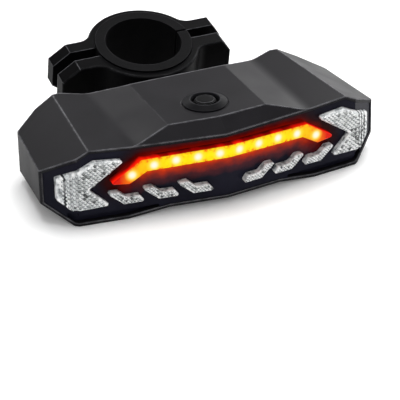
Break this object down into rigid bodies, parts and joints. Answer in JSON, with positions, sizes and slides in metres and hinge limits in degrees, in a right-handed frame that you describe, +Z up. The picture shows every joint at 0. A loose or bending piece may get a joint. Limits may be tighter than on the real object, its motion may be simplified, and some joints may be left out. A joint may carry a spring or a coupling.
{
  "type": "bicycle tail light",
  "caption": "Wide faceted bicycle tail light with a red bar, turn arrows and chevron lamps, on a tilting split clamp for a seat post.",
  "frame": {"origin": "on the plane of the casing's feet, under the middle of the whole light", "axes": "+X to the right seen from behind the bicycle, +Y from the lens towards the seat post, +Z up"},
  "size_m": [0.1142, 0.0934, 0.0318],
  "materials": {
    "casing_plastic": "satin",
    "cover_plastic": "fine spark texture",
    "bezel_plastic": "gloss",
    "seal_rubber": "matt",
    "red_lens": "gloss",
    "clear_lens": "micro prism",
    "white_plastic": "satin",
    "lamp_board": "satin",
    "circuit_board": "satin",
    "led_package": "satin",
    "screw_steel": "satin",
    "chip_plastic": "matt",
    "switch_plastic": "satin",
    "button_rubber": "satin",
    "cell_foil": "satin",
    "siren_plastic": "satin",
    "membrane_brass": "satin",
    "socket_steel": "satin",
    "clamp_plastic": "satin",
    "bolt_steel": "black oxide",
    "sleeve_rubber": "matt",
    "insert_brass": "machined"
  },
  "bodies": {
    "light": {"housing_shell": "casing_plastic", "bottom_cover": "cover_plastic", "front_bezel": "bezel_plastic", "front_seal": "seal_rubber", "cover_seal": "seal_rubber", "light_bar_lens": "red_lens", "right_arrow_lens": "clear_lens", "left_arrow_lens": "clear_lens", "right_chevron_lenses": "clear_lens", "left_chevron_lenses": "clear_lens", "light_baffle": "white_plastic", "right_led_board": "lamp_board", "left_led_board": "lamp_board", "bar_leds": "led_package", "signal_leds": "led_package", "cover_screws": "screw_steel", "main_board": "circuit_board", "board_screws": "screw_steel", "control_chips": "chip_plastic", "tact_switch": "switch_plastic", "button_ring": "button_rubber", "battery_cell": "cell_foil", "siren": "siren_plastic", "siren_membrane": "membrane_brass", "charge_board": "circuit_board", "usb_socket": "socket_steel", "mount_bracket": "clamp_plastic", "bracket_screws": "screw_steel", "pivot_bolt": "bolt_steel", "pivot_nut": "bolt_steel"},
    "button": {"button_cap": "button_rubber", "switch_plunger": "switch_plastic"},
    "port_flap": {"port_cover": "button_rubber"},
    "clamp": {"clamp_front": "clamp_plastic", "clamp_sleeve": "sleeve_rubber", "clamp_inserts": "insert_brass"},
    "clamp_cap": {"clamp_rear": "clamp_plastic", "bolt_washers": "bolt_steel"},
    "right_bolt": {"right_clamp_bolt": "bolt_steel"},
    "left_bolt": {"left_clamp_bolt": "bolt_steel"}
  },
  "joints": [
    {"name": "button_press", "type": "slide", "parent": "light", "child": "button", "axis": [0, 0, -1], "range_m": [0, 0.0008], "stiffness_N_per_m": 1500, "springref_m": -0.0006},
    {"name": "port_flap_hinge", "type": "hinge", "parent": "light", "child": "port_flap", "pos_m": [0.02727, -0.00085, 0.01586], "axis": [0.9085, 0.4179, 0], "range_deg": [0, 100]},
    {"name": "clamp_tilt", "type": "hinge", "parent": "light", "child": "clamp", "pos_m": [0, 0.00245, 0.014], "axis": [1, 0, 0], "range_deg": [-15, 15]},
    {"name": "clamp_cap_slide", "type": "slide", "parent": "clamp", "child": "clamp_cap", "axis": [0, 0.9715, 0.2368], "range_m": [0, 0.0028]},
    {"name": "right_bolt_turn", "type": "hinge", "parent": "clamp_cap", "child": "right_bolt", "pos_m": [0.024, 0.03267, 0.02099], "axis": [0, 0.9715, 0.2368], "range_deg": [0, 1450]},
    {"name": "left_bolt_turn", "type": "hinge", "parent": "clamp_cap", "child": "left_bolt", "pos_m": [-0.024, 0.03267, 0.02099], "axis": [0, 0.9715, 0.2368], "range_deg": [0, 1450]}
  ],
  "couplings": [
    {"joint": "right_bolt_turn", "follows": "clamp_cap_slide", "rad_per_m": 8976},
    {"joint": "left_bolt_turn", "follows": "clamp_cap_slide", "rad_per_m": 8976}
  ]
}
